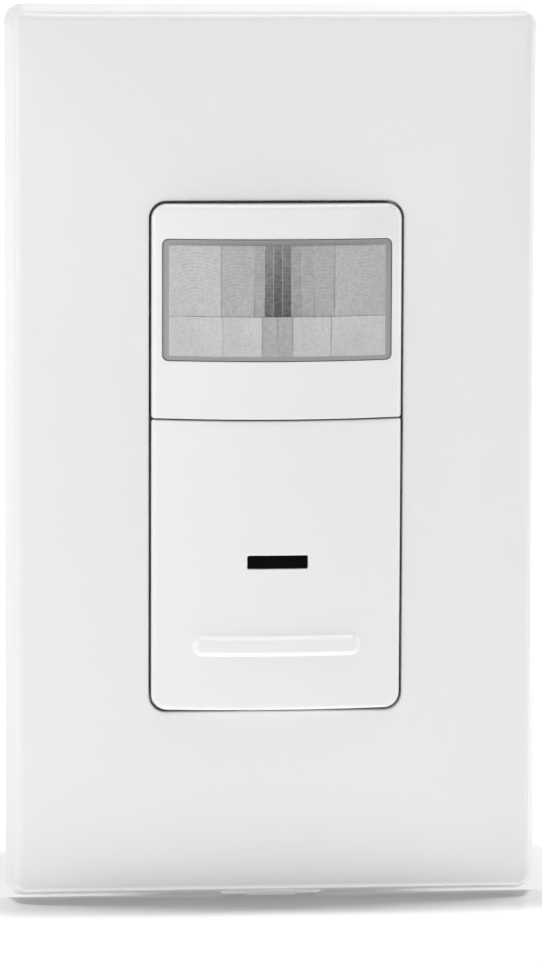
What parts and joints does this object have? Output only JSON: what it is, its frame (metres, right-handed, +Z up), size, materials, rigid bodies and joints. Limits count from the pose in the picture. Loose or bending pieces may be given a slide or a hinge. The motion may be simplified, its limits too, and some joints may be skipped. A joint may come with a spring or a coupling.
{
  "type": "motion sensor light switch",
  "caption": "Wall-mounted occupancy sensor switch: convex lens window over a rocking push pad with a light slot, in a clip-on domed wall plate, with a box-mounted rear housing.",
  "frame": {"origin": "centre of the wall plane: the strap's back face, midway between the box screws", "axes": "+X right as seen from the room, +Y into the wall, +Z up"},
  "size_m": [0.07, 0.0424, 0.1175],
  "materials": {
    "cover_plastic": "gloss",
    "device_plastic": "gloss",
    "frame_plastic": "matte",
    "lens_plastic": "satin",
    "tinted_window": "gloss",
    "clear_plastic": "gloss",
    "strap_aluminium": "satin",
    "zinc_steel": "satin",
    "green_screw": "gloss",
    "fibre_washer": "matte",
    "black_plastic": "matte",
    "sensor_ceramic": "matte",
    "trimmer_plastic": "matte",
    "dial_plastic": "matte",
    "board_laminate": "satin",
    "relay_plastic": "satin",
    "film_resin": "gloss",
    "sleeve_plastic": "gloss",
    "varistor_resin": "gloss",
    "choke_ferrite": "matte",
    "housing_plastic": "satin",
    "brass_plate": "satin"
  },
  "bodies": {
    "switch_body": {"mounting_subplate": "frame_plastic", "subplate_screws": "zinc_steel", "mounting_strap": "strap_aluminium", "box_screws": "zinc_steel", "screw_retainers": "fibre_washer", "ground_screw": "green_screw", "ground_clamp": "zinc_steel", "front_frame": "frame_plastic", "lens_bezel": "device_plastic", "fresnel_lens": "lens_plastic", "optical_shroud": "black_plastic", "pir_detector": "zinc_steel", "pir_filter": "tinted_window", "light_guide": "clear_plastic", "indicator_led": "clear_plastic", "photocell": "sensor_ceramic", "tact_switch_body": "black_plastic", "tact_switch_cover": "zinc_steel", "tact_switch_dome": "zinc_steel", "return_springs": "zinc_steel", "time_dial_base": "trimmer_plastic", "light_dial_base": "trimmer_plastic", "sensitivity_dial_base": "trimmer_plastic", "control_board": "board_laminate", "microcontroller": "black_plastic", "board_header": "black_plastic", "header_socket": "black_plastic", "power_board": "board_laminate", "relay": "relay_plastic", "film_capacitor": "film_resin", "electrolytic_capacitor": "sleeve_plastic", "varistor": "varistor_resin", "fusible_resistor": "sensor_ceramic", "choke": "choke_ferrite", "rectifier": "black_plastic", "rear_housing": "housing_plastic", "housing_screws": "zinc_steel", "line_terminal": "brass_plate", "load_terminal": "brass_plate", "traveler_terminal": "brass_plate", "wire_clamps": "zinc_steel", "terminal_screws": "brass_plate"},
    "cover": {"wallplate_cover": "cover_plastic"},
    "pad": {"push_pad": "device_plastic", "slot_insert": "tinted_window"},
    "plunger": {"button_plunger": "frame_plastic", "tact_switch_stem": "black_plastic"},
    "time_rotor": {"time_dial": "dial_plastic"},
    "light_rotor": {"light_dial": "dial_plastic"},
    "sensitivity_rotor": {"sensitivity_dial": "dial_plastic"}
  },
  "joints": [
    {"name": "pad_press", "type": "hinge", "parent": "switch_body", "child": "pad", "pos_m": [0, -0.0042, 0.0039], "axis": [1, 0, 0], "range_deg": [0, 1.5], "stiffness_Nm_per_rad": 0.8, "springref_deg": -2.01, "deforming": ["return_springs"]},
    {"name": "plunger_slide", "type": "slide", "parent": "switch_body", "child": "plunger", "axis": [0, 1, 0], "range_m": [0, 0.00032]},
    {"name": "time_turn", "type": "hinge", "parent": "switch_body", "child": "time_rotor", "pos_m": [-0.009, -0.001, -0.022], "axis": [0, -1, 0], "range_deg": [-135, 135]},
    {"name": "light_turn", "type": "hinge", "parent": "switch_body", "child": "light_rotor", "pos_m": [0, -0.001, -0.022], "axis": [0, -1, 0], "range_deg": [-135, 135]},
    {"name": "sensitivity_turn", "type": "hinge", "parent": "switch_body", "child": "sensitivity_rotor", "pos_m": [0.009, -0.001, -0.022], "axis": [0, -1, 0], "range_deg": [-135, 135]},
    {"name": "cover_pull", "type": "slide", "parent": "switch_body", "child": "cover", "axis": [0, -1, 0], "range_m": [0, 0.018]}
  ],
  "couplings": [
    {"joint": "plunger_slide", "follows": "pad_press", "m_per_rad": 0.012}
  ]
}
